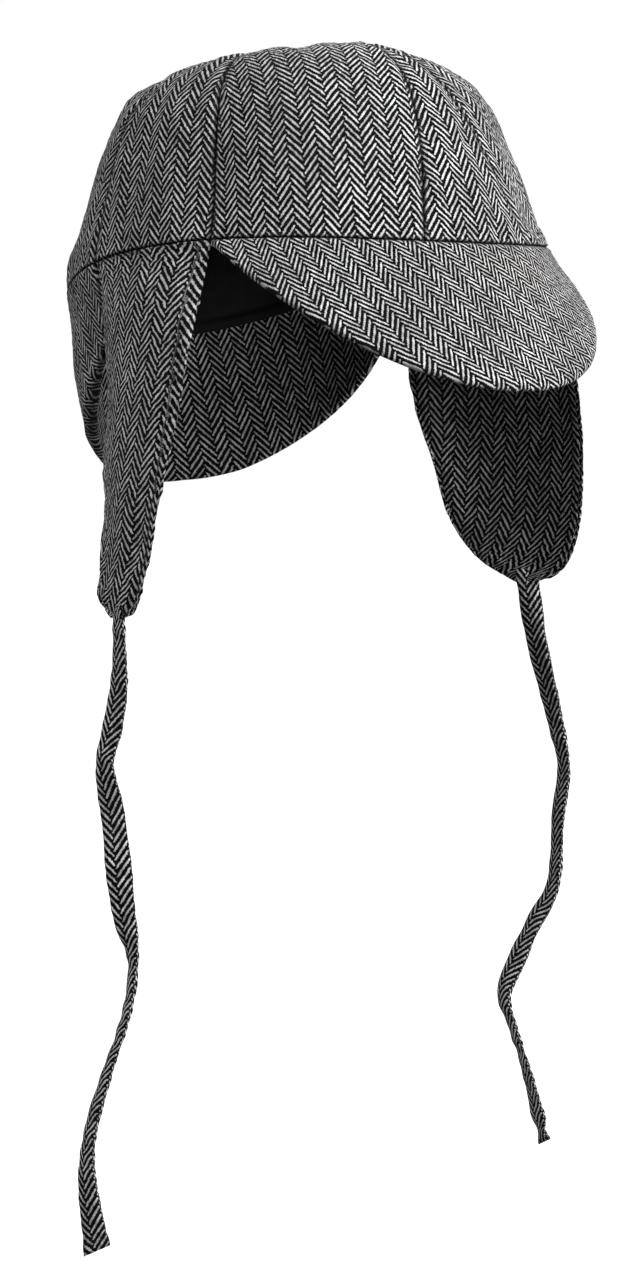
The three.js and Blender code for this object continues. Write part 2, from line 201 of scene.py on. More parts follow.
# Each flap's own hang: the depths between which a move sets in, those between which it fades
# out, the y between which it grows to full, and the move in mm.
NO_FADE = (400, 500)
ANY_Y = (-500, -400)
FLAP_MOVES = {
    -1: [
        ((46, 74), (90, 108), (-6, -36), (0, 2.5, 0)),
        ((54, 70), (76, 90), (-16, 10), (-0.8, 0.9, 0)),
        ((92, 108), NO_FADE, (-16, 10), (-1.5, 0, 0)),
        ((110, 123), NO_FADE, (-16, 10), (-0.8, 0, 0)),
        ((110, 123), NO_FADE, (-24, -10), (0, 4.9, 0)),
        ((110, 123), NO_FADE, (-17, -28), (0, -1.2, 0)),
        ((110, 123), NO_FADE, ANY_Y, (0, 0, -1.8)),
    ],
    1: [
        ((14, 40), NO_FADE, (-4, -40), (1.2, -2.1, 0)),
        ((74, 106), NO_FADE, (-4, -40), (0, -0.9, 0)),
        ((22, 38), (52, 72), (-22, 12), (0, 3, 0)),
        ((74, 106), NO_FADE, (-22, 12), (-0.8, 5.6, 0)),
        ((100, 122), NO_FADE, ANY_Y, (0, 0, -1.1)),
    ],
}

# The flaps' cloth simulation.
PAD_SCALE = 10
PAD_GRID = (46, 30)
PAD_FRAMES = 12
PAD_PRESSURE = 0.6
PAD_GROWTH = 0.012
PAD_MOST_MOVE = 1.6

# The band turned over a flap's front edge: its width at the top, lower down and underneath,
# and the shares of the way down between which it narrows and ends.
FLAP_WEAVE_EASE = {-1: 0.66, 1: 1}
FLAP_BAND_TOP = 6.8
FLAP_BAND_LOW = 3.4
FLAP_BAND_UNDER = 2
BAND_TAPER = (0.12, 0.6)
BAND_END = (0.72, 0.9)

# Ties: drop below the flap and sideways swing, both as in the solids, and how far the strip
# is turned away from the photograph's camera, in degrees.
TIE_WIDTH = 9.2
TIE_THICKNESS = 2.2
TIE_EDGE_ROUNDING = 0.6
TIE_END_ROUNDING = 0.9
TIE_START_DROP = 0.6
TIE_SWING_DIRECTION = (0.747, -0.665)
TIE_RIGHT_ROUTE = [
    (0, 0, 70),
    (24, 0, 52),
    (42, -2.9, 42),
    (54, -5.6, 52),
    (74, -2.8, 8),
    (110, 0.8, 14),
    (127, 4, 73),
    (146, 1.6, 76),
    (168, -5.6, 72),
    (190, -12.2, 68),
    (206, -13.9, 52),
    (237, -10.4, 4),
]
TIE_LEFT_ROUTE = [
    (0, 0, 6),
    (24, 3.5, 38),
    (54, 10.4, 50),
    (76, 14.7, 68),
    (98, 12.4, 68),
    (127, 10, 71),
    (142, 2.3, 52),
    (157, -4.6, 46),
    (172, -9.9, 68),
    (186, -6.1, 76),
    (205, -0.4, 72),
    (234, 6.7, 58),
]
TIE_ROOT = 5
TIE_ROOT_STEPS = 8
TIE_STEPS = 420
TIE_AROUND = 28
TIE_TURN_BLUR = 31
TIE_WEAVE_SHIFT = 5
TIE_HEM = {-1: 4, 1: 1.6}

# Herringbone: the width of one column, the step between its light lines, and their steepness.
COLUMN_WIDTH = 5.45
LINE_STEP = 3.3
LINE_RISE = 1.27
YARN_STEP = 0.68

# Colours of the yarns, of patches and rubbed fuzz, of painted shade in grooves, and of the lining.
PALE_YARN = (0.92, 0.92, 0.915, 1)
DULL_YARN = (0.13, 0.13, 0.132, 1)
DARK_YARN = (0.003, 0.003, 0.0034, 1)
DARK_FIBRE = (0.04, 0.04, 0.041, 1)
PATCH_SHADE = (0.015, 0.015, 0.015, 1)
WORN_GREY = (0.2, 0.2, 0.2, 1)
GROOVE_SHADE = (0.008, 0.008, 0.008, 1)
LINING_BLACK = (0.003, 0.003, 0.0035, 1)
LINING_SLUB = (0.01, 0.01, 0.011, 1)
LINING_RIB = 0.6

# Studio, in metres: each light's name, place, target, size and watts. The world's light grows
# from one strength to the other between two heights.
FLOOR_HEIGHT = -0.392
FLOOR_RADIUS = 9
DOME_RADIUS = 12
WORLD_HEIGHTS = (-0.6, 0.8)
WORLD_STRENGTHS = (0.03, 0.42)
LIGHTS = [
    ("key_light", (0.6, -2.0, 1.3), (0, 0, -0.02), 1.1, 61),
    ("high_fill", (-1.9, 0.5, 1.6), (0, 0, 0), 1.2, 13),
    ("low_fill", (-2.2, 0.55, 0.35), (0, 0, -0.1), 1, 4),
    ("under_fill", (0.7, -2.25, -0.3), (0, 0, -0.05), 0.5, 15),
    ("back_light", (1.6, 1.8, 1.2), (0, 0, 0), 1.4, 9),
]


def signed_power(value, power):
    return np.sign(value) * np.abs(value) ** power


def lerp(a, b, share):
    return a + (b - a) * share


def smooth(value, low, high):
    share = np.clip((value - low) / (high - low), 0, 1)
    return share * share * (3 - 2 * share)


def bell(value, width):
    return np.exp(-((value / width) ** 2))


def window(value, opens, closes):
    return smooth(value, *opens) * (1 - smooth(value, *closes))


def unit(vectors):
    return vectors / np.maximum(np.linalg.norm(vectors, axis=-1, keepdims=True), 1e-12)


def stack(*parts):
    return np.stack(np.broadcast_arrays(*parts), -1).astype(float)


# Shapes shared with the solids


def rim_point(angle):
    power = 2 / HEAD_SQUARENESS
    return stack(
        HEAD_HALF_WIDTH * signed_power(np.sin(angle), power),
        -HEAD_HALF_LENGTH * signed_power(np.cos(angle), power),
        RIM_FRONT_RISE * np.cos(angle)
        - RIM_SIDE_RISE * np.cos(2 * angle)
        + RIM_TILT_SKEW * np.cos(3 * angle),
    )


def rim_outward(angle):
    step = 0.01
    along = rim_point(angle + step) - rim_point(angle - step)
    return unit(stack(along[..., 1], -along[..., 0], 0))


def crown_point(angle, rise):
    rim = rim_point(angle)
    shoulder = np.maximum(1 - rise**CROWN_SHOULDER, 0) ** (1 / CROWN_SHOULDER_FULLNESS)
    spread = (1 - CROWN_LEAN_IN * rise) * shoulder
    top = CROWN_HEIGHT + CROWN_TOP_TILT * np.cos(angle) * spread
    return stack(
        rim[..., 0] * spread,
        rim[..., 1] * spread + CROWN_TOP_SET_BACK * rise,
        lerp(rim[..., 2], top, rise),
    )


def surface_normal(point, u, v, outward):
    step = 1e-3
    along_u = point(u + step, v) - point(u - step, v)
    along_v = point(u, v + step) - point(u, v - step)
    normal = unit(np.cross(along_u, along_v))
    away = np.sum(normal * outward, -1, keepdims=True) < 0
    return np.where(away, -normal, normal)


def crown_normal(angle, rise):
    hint = rim_outward(angle) + np.array([0, 0, CROWN_HINT_RISE])
    return surface_normal(crown_point, angle, np.clip(rise, 0.002, 0.998), hint)


def inward_offset(outward, normal, away_from_rim, thickness):
    share = np.asarray(away_from_rim)[..., None]
    return -unit(lerp(outward, normal, share)) * np.asarray(thickness)[..., None]


def peak_point(peak, across, out):
    angle = np.radians(peak["middle_angle"] + across * peak["half_span"])
    squared = np.minimum(across * across, 1)
    crescent = (1 - squared) ** peak["roundness"] * (1 + peak["side_fullness"] * squared)
    reach = np.hypot(peak["length"] * crescent, PEAK_CORNER_LENGTH) * out
    change = peak["slope_change"]
    slope = np.radians(peak["middle_slope"] + change[0] * squared + change[1] * squared**2)
    heading = np.radians(peak["middle_angle"] + across * peak["fan"])
    level = reach * np.cos(slope)
    step = stack(
        level * np.sin(heading),
        -level * np.cos(heading),
        -reach * np.sin(slope) - SEAM_GAP,
    )
    return rim_point(angle) + step


def slope(a, b, c, before, after):
    return (b - a) / before - (c - a) / (before + after) + (c - b) / after


def catmull_rom(points):
    """A centripetal curve through the points, as a function of a share from 0 to 1."""
    points = np.asarray(points, float)
    first = 2 * points[0] - points[1]
    last = 2 * points[-1] - points[-2]
    p = np.vstack([first, points, last])
    count = len(points) - 1

    def at(share):
        place = np.clip(np.asarray(share, float), 0, 1) * count
        k = np.minimum(place.astype(int), count - 1)
        t = (place - k)[..., None]
        p0, p1, p2, p3 = p[k], p[k + 1], p[k + 2], p[k + 3]
        gap0, gap1, gap2 = [
            np.maximum(np.sum((b - a) ** 2, -1, keepdims=True) ** 0.25, 1e-4)
            for a, b in ((p0, p1), (p1, p2), (p2, p3))
        ]
        start = slope(p0, p1, p2, gap0, gap1) * gap1
        end = slope(p1, p2, p3, gap1, gap2) * gap1
        c2 = -3 * p1 + 3 * p2 - 2 * start - end
        c3 = 2 * p1 - 2 * p2 + start + end
        return p1 + start * t + c2 * t**2 + c3 * t**3

    return at


FLAP_START = math.radians(CROWN_SEAMS[2][0])
FLAP_END = math.radians(CROWN_SEAMS[3][0])
flap_front_edge = catmull_rom(
    [rim_point(FLAP_START)] + [np.array([row[1], row[2], row[0]]) for row in FLAP_EDGES]
)
flap_rear_edge = catmull_rom(
    [rim_point(FLAP_END)] + [np.array([row[3], row[4], row[0]]) for row in FLAP_EDGES]
)


def flap_point(across, down):
    share = ((across + 1) / 2)[..., None]
    front = flap_front_edge(down)
    rear = flap_rear_edge(down)
    chord = rear - front
    outward = unit(stack(chord[..., 1], -chord[..., 0], 0))
    width = np.linalg.norm(chord, axis=-1) / FLAP_WIDTH
    bulge = FLAP_BULGE * (1 - across * across) * width * width
    hanging = lerp(front, rear, share) + outward * bulge[..., None]
    at_rim = rim_point(lerp(FLAP_START, FLAP_END, share[..., 0]))
    near_rim = (1 - smooth(down, 0, FLAP_RIM_REACH)) ** FLAP_RIM_EASE
    return lerp(hanging, at_rim, near_rim[..., None]) - np.array([0, 0, SEAM_GAP])


def place_on_side(points, side):
    """Puts points of the left flap on the wearer's left (1), drawn up a little, or right (-1)."""
    placed = points.copy()
    if side > 0:
        lift = lerp(1, FLAP_LEFT_LIFT, smooth(-points[..., 2], 0, FLAP_LIFT_REACH))
        placed[..., 2] *= lift
    placed[..., 0] *= side
    return placed


# Cloth helpers


def dense_ends(count, share=0.85):
    """Shares from 0 to 1 that crowd together at both ends."""
    even = np.linspace(0, 1, count + 1)
    return lerp(even, 0.5 - 0.5 * np.cos(np.pi * even), share)


def cloth_grid(columns, rows, crowding, margin):
    """Places from -1 to 1 across a piece, but for a margin, and shares of the way down it."""
    even = 2 * dense_ends(columns, 0.35)[None] - 1
    across = np.sin(even * np.pi / 2) * (1 - margin)
    return np.broadcast_arrays(across, dense_ends(rows, crowding)[:, None])


def densify(points, spacing):
    """A line with more points, no further apart than about the spacing."""
    out = [points[:1]]
    for a, b in zip(points[:-1], points[1:]):
        count = max(1, int(np.linalg.norm(b - a) / spacing))
        shares = np.linspace(0, 1, count + 1)[1:, None]
        out.append(a + (b - a) * shares)
    return np.concatenate(out)


def edge_distance(grid, edges):
    """Each grid point's distance from the nearest of these edge lines."""
    line = np.concatenate([densify(edge, 0.8) for edge in edges])
    flat = grid.reshape(-1, 3)
    best = np.full(len(flat), 1e9)
    for start in range(0, len(line), 200):
        part = line[start : start + 200]
        gap = np.linalg.norm(flat[:, None] - part[None], axis=-1).min(1)
        best = np.minimum(best, gap)
    return best.reshape(grid.shape[:2])


def round_edge(distance, radius):
    """A quarter circle's height over the distance from an edge: 0 at it, 1 beyond the radius."""
    near = np.clip(1 - distance / radius, 0, 1)
    return np.sqrt(np.maximum(1 - near * near, 0))


class Ripple:
    """Smooth noise over space: a seeded sum of plane waves, about -1 to 1."""

    def __init__(self, seed, wavelength, count=9):
        chance = np.random.default_rng(RANDOM_SEED + seed)
        turn = unit(chance.normal(size=(count, 3)))
        pace = 2 * np.pi / (wavelength * chance.uniform(0.7, 1.5, count))
        self.waves = turn * pace[:, None]
        self.phase = chance.uniform(0, 2 * np.pi, count)
        self.scale = 1.6 / math.sqrt(count)

    def __call__(self, points):
        total = np.zeros(points.shape[:-1])
        for wave, phase in zip(self.waves, self.phase):
            total += np.sin(points @ wave + phase)
        return total * self.scale / 1.3


def crease(points, start, end, width, depth):
    """A soft valley (or with a negative depth a ridge) along a line between two points."""
    start, end = np.asarray(start, float), np.asarray(end, float)
    along = end - start
    share = np.clip((points - start) @ along / (along @ along), 0, 1)
    gap = np.linalg.norm(points - (start + share[..., None] * along), axis=-1)
    return -depth * np.sin(np.pi * (0.12 + 0.76 * share)) * bell(gap, width)


def arc_across(grid):
    """Distance along each row, from its middle column."""
    total = arc_from_first(grid)
    return total - total[:, grid.shape[1] // 2][:, None]


def arc_from_first(grid):
    """Distance along each row, from its first column."""
    steps = np.linalg.norm(np.diff(grid, axis=1), axis=-1)
    return np.concatenate([np.zeros((len(grid), 1)), np.cumsum(steps, 1)], 1)


def arc_along(line):
    return arc_from_first(line[None])[0]


def round_index(rings, around):
    """Point numbers of rings of points, with each ring's first point again at its end."""
    index = np.arange(rings * around).reshape(rings, around)
    return np.append(index, index[:, :1], 1)


def squares(grid):
    """The values at the four corners of each square of a grid, in turn around it."""
    corners = np.stack([grid[:-1, :-1], grid[:-1, 1:], grid[1:, 1:], grid[1:, :-1]], 2)
    return corners.reshape(-1, 4, *grid.shape[2:])


def paired_index(shape):
    """Point numbers of two grids that share their border, and which points are inside it."""
    index = np.arange(shape[0] * shape[1]).reshape(shape)
    inside = np.zeros(shape, bool)
    inside[1:-1, 1:-1] = True
    under = index.copy()
    under[inside] = index.size + np.arange(inside.sum())
    return index, under, inside


def make_mesh(name, points, faces, uvs, edge_wear_and_shade, material):
    """A mesh object from points in mm, with a weave place in mm for each face corner and
    how much fuzz and painted shade each point beside a sewn edge gets."""
    mesh = bpy.data.meshes.new(name)
    mesh.from_pydata((points * MM).tolist(), [], faces)
    layer = mesh.uv_layers.new(name="weave")
    layer.uv.foreach_set("vector", np.asarray(uvs, np.float32).ravel())
    wear_and_shade = mesh.attributes.new("edge", "FLOAT", "POINT")
    wear_and_shade.data.foreach_set("value", np.asarray(edge_wear_and_shade, np.float32))
    mesh.validate()
    mesh.shade_smooth()
    piece = bpy.data.objects.new(name, mesh)
    bpy.context.scene.collection.objects.link(piece)
    mesh.materials.append(material)
    return piece


def sewn_body(name, outer, inner, weaves, wear_and_shade, material):
    """Two grids of points that meet along all four sides, joined into one closed body."""
    index, under, inside = paired_index(outer.shape[:2])
    points = np.concatenate([outer.reshape(-1, 3), inner[inside]])
    # Each point's fuzz and painted shade, for both faces.
    edge_toned = np.concatenate([wear_and_shade.ravel(), wear_and_shade[inside]])
    faces = np.concatenate([squares(index), squares(under)[:, BACKWARD]])
    uvs = np.concatenate([squares(weaves[0]), squares(weaves[1])[:, BACKWARD]])
    a, b, c, d = points[faces].transpose(1, 0, 2)
    volume = np.sum((a + b + c + d) * np.cross(c - a, d - b))
    if volume < 0:
        faces = faces[:, ::-1]
        uvs = uvs[:, ::-1]
    return make_mesh(name, points, faces.tolist(), uvs.reshape(-1, 2), edge_toned, material)


def dress(piece, solid):
    """Fixes a piece to the hat's one body, in place of the solid that it dresses."""
    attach(piece, "root")
    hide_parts(solid)


# Materials


class Nodes:
    """Short names for the node maths of one material."""

    def __init__(self, name):
        self.material = bpy.data.materials.new(name)
        self.material.use_nodes = True
        self.tree = self.material.node_tree
        self.tree.nodes.clear()
        self.shader = self.add("ShaderNodeBsdfPrincipled")
        output = self.add("ShaderNodeOutputMaterial")
        self.link(self.shader.outputs["BSDF"], output.inputs["Surface"])

    def add(self, kind, **settings):
        node = self.tree.nodes.new(kind)
        for key, value in settings.items():
            setattr(node, key, value)
        return node

    def link(self, source, target):
        self.tree.links.new(source, target)

    def put(self, value, target):
        if isinstance(value, (int, float, tuple)):
            target.default_value = value
        else:
            self.link(value, target)

    def math(self, operation, *values):
        node = self.add("ShaderNodeMath", operation=operation)
        for k, value in enumerate(values):
            self.put(value, node.inputs[k])
        return node.outputs[0]

    def plus(self, first, second):
        return self.math("ADD", first, second)

    def minus(self, first, second):
        return self.math("SUBTRACT", first, second)

    def times(self, first, second):
        return self.math("MULTIPLY", first, second)

    def sway(self, value, reach):
        """A value from 0 to 1, as a swing about 0."""
        return self.times(self.minus(value, 0.5), reach)

    def feed(self, node, **inputs):
        """Sets or links a node's inputs, with a low line for each space in their names."""
        for key, value in inputs.items():
            self.put(value, node.inputs[key.replace("_", " ")])
        return node.outputs[0]

    def ramp(self, value, low, high, to_low=0.0, to_high=1.0):
        node = self.add("ShaderNodeMapRange", interpolation_type="SMOOTHSTEP")
        return self.feed(
            node, Value=value, From_Min=low, From_Max=high, To_Min=to_low, To_Max=to_high
        )

    def noise(self, vector, scale, detail=2.0, roughness=0.5):
        node = self.add("ShaderNodeTexNoise")
        self.feed(node, Vector=vector, Scale=scale, Detail=detail, Roughness=roughness)
        return node.outputs["Fac"]

    def mix(self, share, low, high):
        node = self.add("ShaderNodeMix", data_type="RGBA")
        self.feed(node, Factor=share, A=low, B=high)
        return node.outputs["Result"]

    def places(self):
        """The place in the weave, the same split into across and along, and that in space."""
        uv = self.add("ShaderNodeUVMap", uv_map="weave").outputs[0]
        split = self.add("ShaderNodeSeparateXYZ")
        self.link(uv, split.inputs[0])
        place = self.add("ShaderNodeTexCoord").outputs["Object"]
        return uv, split.outputs[0], split.outputs[1], place

    def chance(self, first, second):
        """A random number for each whole pair of these two."""
        cell = self.add("ShaderNodeCombineXYZ")
        self.link(first, cell.inputs[0])
        self.link(second, cell.inputs[1])
        white = self.add("ShaderNodeTexWhiteNoise", noise_dimensions="2D")
        self.link(cell.outputs[0], white.inputs["Vector"])
        return white.outputs["Value"]

    def bump(self, height, strength, distance):
        node = self.add("ShaderNodeBump")
        relief = self.feed(node, Strength=strength, Distance=distance, Height=height)
        self.link(relief, self.shader.inputs["Normal"])


def tweed_material():
    n = Nodes("tweed")
    uv, across, along, place = n.places()

    # The yarns wander a little, so that columns are never ruled lines.
    across = n.plus(across, n.sway(n.noise(uv, 0.09), 0.5))
    along = n.plus(along, n.sway(n.noise(uv, 0.16), 0.7))

    # Zigzag height, partly smooth and partly stepped from yarn to yarn.
    zigzag = n.math("PINGPONG", across, COLUMN_WIDTH)
    stepped = n.math("SNAP", zigzag, YARN_STEP)
    zigzag = n.plus(n.times(zigzag, 0.65), n.times(stepped, 0.35))
    column = n.math("FLOOR", n.math("DIVIDE", across, COLUMN_WIDTH))
    odd = n.math("FLOORED_MODULO", column, 2.0)
    climb = n.plus(n.minus(along, n.times(zigzag, LINE_RISE)), n.times(odd, 0.42 * LINE_STEP))
    line = n.math("DIVIDE", climb, LINE_STEP)
    from_middle = n.math("ABSOLUTE", n.minus(n.math("FRACT", line), 0.5))

    # Light lines narrow where two columns meet, and differ from dash to dash and yarn to yarn.
    row = n.math("FLOOR", line)
    dash_chance = n.chance(column, row)
    yarn_chance = n.chance(n.math("FLOOR", n.math("DIVIDE", across, YARN_STEP)), row)
    in_column = n.math("FLOORED_MODULO", across, COLUMN_WIDTH)
    to_edge = n.math("MINIMUM", in_column, n.minus(COLUMN_WIDTH, in_column))
    open_share = n.ramp(to_edge, 0.0, 0.8, 0.07, 0.185)
    beads = n.math("SINE", n.times(in_column, 2 * math.pi / YARN_STEP))
    uneven = n.sway(n.noise(uv, 0.9, 3.0), 0.16)
    ragged = n.sway(yarn_chance, 0.08)
    half_width = n.plus(n.plus(open_share, n.times(beads, 0.02)), n.plus(uneven, ragged))
    light = n.ramp(n.minus(from_middle, half_width), 0.035, -0.035)

    # Each yarn differs a little, fibres break up the lines, and broad patches differ too.
    fibres = n.noise(place, 2300.0, 3.0, 0.6)
    yarns = n.ramp(n.noise(uv, 0.3), 0.28, 0.72, 0.8, 1.12)
    patches = n.noise(place, 34.0, 3.0)
    differing = n.plus(n.times(dash_chance, 0.3), n.times(yarn_chance, 0.42))
    brightness = n.plus(n.times(yarns, n.plus(differing, 0.36)), n.sway(fibres, 0.95))
    pale = n.mix(brightness, DULL_YARN, PALE_YARN)
    dark = n.mix(n.ramp(fibres, 0.56, 0.8), DARK_YARN, DARK_FIBRE)
    cloth = n.mix(light, dark, pale)
    patchy = n.mix(n.ramp(patches, 0.3, 0.7, 0.0, 0.22), cloth, PATCH_SHADE)

    # Sewn edges get painted shade in the groove, and a rubbed, fuzzy grey beside it.
    edge = n.add("ShaderNodeAttribute", attribute_name="edge").outputs["Fac"]
    fuzz = n.times(n.ramp(edge, 0.2, 0.6), n.ramp(fibres, 0.45, 0.7))
    edge_toned = n.mix(n.times(fuzz, 0.34), patchy, WORN_GREY)
    broken = n.ramp(n.noise(place, 700.0), 0.35, 0.62, 0.6, 1.0)
    groove = n.times(n.ramp(edge, 0.5, 1.0, 0.0, 0.92), broken)
    n.feed(
        n.shader,
        Base_Color=n.mix(groove, edge_toned, GROOVE_SHADE),
        Roughness=n.ramp(fibres, 0.2, 0.8, 0.82, 1.0),
        Specular_IOR_Level=0.05,
        Sheen_Weight=0.03,
        Sheen_Roughness=0.5,
    )
    height = n.plus(n.times(light, 0.7), n.plus(n.times(fibres, 0.5), n.times(beads, 0.08)))
    n.bump(height, 0.7, 0.00035)
    return n.material


def lining_material():
    n = Nodes("lining")
    _, across, along, place = n.places()
    ribs = n.math("SINE", n.times(across, 2 * math.pi / LINING_RIB))
    picks = n.math("SINE", n.times(along, 2 * math.pi / LINING_RIB))
    slubs = n.noise(place, 260.0, 4.0)
    colour = n.mix(slubs, LINING_BLACK, LINING_SLUB)
    rough = n.ramp(slubs, 0.3, 0.7, 0.55, 0.75)
    n.feed(n.shader, Base_Color=colour, Roughness=rough, Specular_IOR_Level=0.2)
    n.bump(n.plus(n.times(n.times(ribs, picks), 0.5), slubs), 0.5, 0.0002)
    return n.material


# Camera


def make_camera():
    across, toward = math.cos(CAMERA_AZIMUTH), math.sin(CAMERA_AZIMUTH)
    level, rise = math.cos(CAMERA_ELEVATION), math.sin(CAMERA_ELEVATION)
    back = Vector((toward * level, -across * level, rise))
    right = Vector((across, toward, 0))
    up = back.cross(right)
    roll = Matrix.Rotation(CAMERA_ROLL, 3, "Z")
    axes = (Matrix((right, up, back)).transposed() @ roll).to_4x4()
    place = right * CAMERA_SIDE_SHIFT + Vector((0, 0, CAMERA_HEIGHT)) + back * CAMERA_DISTANCE
    data = bpy.data.cameras.new("camera")
    data.sensor_width = SENSOR
    data.sensor_fit = "AUTO"
    data.lens = CAMERA_FOCAL_PIXELS / PHOTO_HEIGHT * SENSOR
    data.clip_start = CLIP_NEAR
    data.clip_end = CLIP_FAR
    camera = bpy.data.objects.new("camera", data)
    camera.matrix_world = Matrix.Translation(place * MM) @ axes
    bpy.context.scene.collection.objects.link(camera)
    bpy.context.scene.camera = camera


# Ties


def tie_route(side, route):
    start = flap_point(np.array(0.0), np.array(1.0))
    start[0] -= FLAP_THICKNESS / 4
    start = place_on_side(start, side)
    start[2] -= TIE_START_DROP
    swing_x, swing_y = TIE_SWING_DIRECTION
    return start + np.array([(swing * swing_x, swing * swing_y, -drop) for drop, swing, _ in route])


def tie_line(side, route):
    """A tie's middle line with its sewn root, and its turn at each point in radians."""
    points = tie_route(side, route)
    share = np.linspace(0, 1, TIE_STEPS + 1)
    line = catmull_rom(points)(share)
    turn = np.interp(share * (len(route) - 1), np.arange(len(route)), [row[2] for row in route])
    root = points[0] + np.array([0, 0, TIE_ROOT])
    upper = lerp(root, line[0], np.linspace(0, 1, TIE_ROOT_STEPS + 1)[:-1, None])
    turn = np.concatenate([np.full(TIE_ROOT_STEPS, turn[0]), turn])
    turn = np.pad(turn, TIE_TURN_BLUR // 2, mode="edge")
    turn = np.convolve(turn, np.ones(TIE_TURN_BLUR) / TIE_TURN_BLUR, "valid")
    return np.concatenate([upper, line]), np.radians(turn)


def tie_axes(line, turn):
    """The line's direction at each point, and the strip's wide and thin directions there."""
    tangent = unit(np.gradient(line, axis=0))
    screen_right = np.array([math.cos(CAMERA_AZIMUTH), math.sin(CAMERA_AZIMUTH), 0])
    flat = unit(screen_right - tangent * (tangent @ screen_right)[:, None])
    depth = np.cross(tangent, flat)
    wide = flat * np.cos(turn)[:, None] + depth * np.sin(turn)[:, None]
    return tangent, wide, np.cross(tangent, wide)


def tie_end_shape(side, left, across):
    """How wide the strip is, and how far its end slants, over the last few mm."""
    if side < 0:
        flare = 1 + 0.1 * bell(left, 5)
        slant = -1.8 * (across + 0.7) * bell(left, 7)
    else:
        pinch = 0.55 * bell(left - 5, 3.2)
        flare = 1 - pinch + 0.05 * bell(left, 2)
        slant = -1.6 * across * bell(left, 3)
    return flare, slant


def tube_faces(rings, girth, length):
    """Faces and weave places of a tube of rings, closed at both ends."""
    index = round_index(rings, len(girth) - 1)
    weave = stack(girth, -length[:, None])
    faces = squares(index).tolist() + [index[0, -2::-1].tolist(), index[-1, :-1].tolist()]
    sides = squares(weave + [TIE_WEAVE_SHIFT, 0]).reshape(-1, 2)
    return faces, np.concatenate([sides, weave[0, -2::-1], weave[-1, :-1]])


def make_tie(name, side, route, material):
    line, turn = tie_line(side, route)
    tangent, wide, thin = tie_axes(line, turn)
    length = arc_along(line)
    left = length[-1] - length
    turn_round = 2 * np.pi * np.arange(TIE_AROUND) / TIE_AROUND
    x = TIE_WIDTH / 2 * signed_power(np.cos(turn_round), TIE_EDGE_ROUNDING)
    y = TIE_THICKNESS / 2 * signed_power(np.sin(turn_round), TIE_EDGE_ROUNDING)
    across = x / (TIE_WIDTH / 2)
    soft = Ripple(40 + side, 22)
    fine = Ripple(43 + side, 6)
    flare, slant = tie_end_shape(side, left[:, None], across[None])
    width = (1.05 + 0.05 * soft(line) + 0.035 * fine(line))[:, None] * flare
    puff = 1.12 + 0.25 * fine(line + 100)
    fold = 0.35 * soft(line + 50)[:, None] * (1 - across[None] ** 2)
    close = round_edge(np.minimum(length, left), TIE_END_ROUNDING)
    rings = (
        line[:, None]
        + tangent[:, None] * slant[..., None]
        + wide[:, None] * (x[None] * width)[..., None]
        + thin[:, None] * (y[None] * (puff * close)[:, None] + fold)[..., None]
    )
    section = np.stack([np.append(x, x[0]), np.append(y, y[0])], 1)
    faces, uvs = tube_faces(len(line), arc_along(section), length)
    # Painted shade in the groove along the hem's stitching, and a fuzzy grey along the strip's
    # edges.
    hem_stitch_shade = 0.95 * bell(left - TIE_HEM[side], 0.5)
    edge_shade = 0.42 * np.abs(across) ** 8
    wear_and_shade = np.maximum(hem_stitch_shade[:, None], edge_shade[None]).ravel()
    tie = make_mesh(name + "_strip", rings.reshape(-1, 3), faces, uvs, wear_and_shade, material)
    dress(tie, name)


# Crown


def even_rises(count):
    """Rises up to the hole left at the top, spaced by distance along the crown."""
    rise = 1 - (1 - np.linspace(0, 1, 4001)) ** 5
    line = crown_point(np.full_like(rise, math.pi / 4), rise)
    radius = np.hypot(line[:, 0], line[:, 1] - CROWN_TOP_SET_BACK * rise)
    keep = radius >= CROWN_TOP_HOLE
    rise, line = rise[keep], line[keep]
    length = arc_along(line)
    return np.interp(dense_ends(count, 0.6) * length[-1], length, rise)


def crown_folds(points):
    """Soft dents and folds of the crown, in mm along its normal."""
    total = 0.45 * Ripple(1, 62)(points)
    for start, end, width, depth in CROWN_DENTS:
        total = total + crease(points, start, end, width, depth)
    return total


def gore_grid(index):
    rim_low, top_low = CROWN_SEAMS[index][:2]
    rim_high, top_high = CROWN_SEAMS[(index + 1) % len(CROWN_SEAMS)][:2]
    if rim_high < rim_low:
        rim_high += 360
        top_high += 360
    rise = even_rises(GORE_ROWS)[:, None]
    columns = int((rim_high - rim_low) * GORE_COLUMNS_EACH_DEGREE)
    share = dense_ends(max(GORE_LEAST_COLUMNS, columns))[None]
    low = np.radians(lerp(rim_low, top_low, rise))
    high = np.radians(lerp(rim_high, top_high, rise))
    edge = crown_point(low, rise)
    radius = np.hypot(edge[..., 0], edge[..., 1] - CROWN_TOP_SET_BACK * rise)
    margin = np.minimum(SEAM_GAP / 2 / radius, (high - low) / 4)
    return np.broadcast_arrays(lerp(low + margin, high - margin, share), rise, share)


def gore_relief(index, skin, rise, share, to_seam, to_edge):
    """How far a gore stands off the crown: puffed, puckered, drawn in at its seams."""
    puff = GORE_PUFF * np.sin(np.pi * share) * np.sin(np.pi * rise)
    allowance = 0.5 * bell(to_seam - 2.6, 1.9) * smooth(rise, 0.02, 0.1)
    pucker = 0.5 * Ripple(5 + index, 9)(skin) * np.exp(-to_edge / 6)
    flutter = 0.22 * Ripple(30 + index, 17)(skin)
    relief = (puff + allowance + pucker + flutter) * smooth(to_edge, -0.5, 4.5)
    recess = 0.8 * np.exp(-to_seam / 2.2) * smooth(to_seam, -0.5, 1.5)
    return relief - recess + 0.13 * Ripple(50 + index, FUZZ_LENGTH)(skin)


def leaning_weave(grid, up, tilt):
    sideways = arc_across(grid) + 0.5 * COLUMN_WIDTH
    return stack(
        sideways * math.cos(tilt) + up * math.sin(tilt),
        up * math.cos(tilt) - sideways * math.sin(tilt),
    )


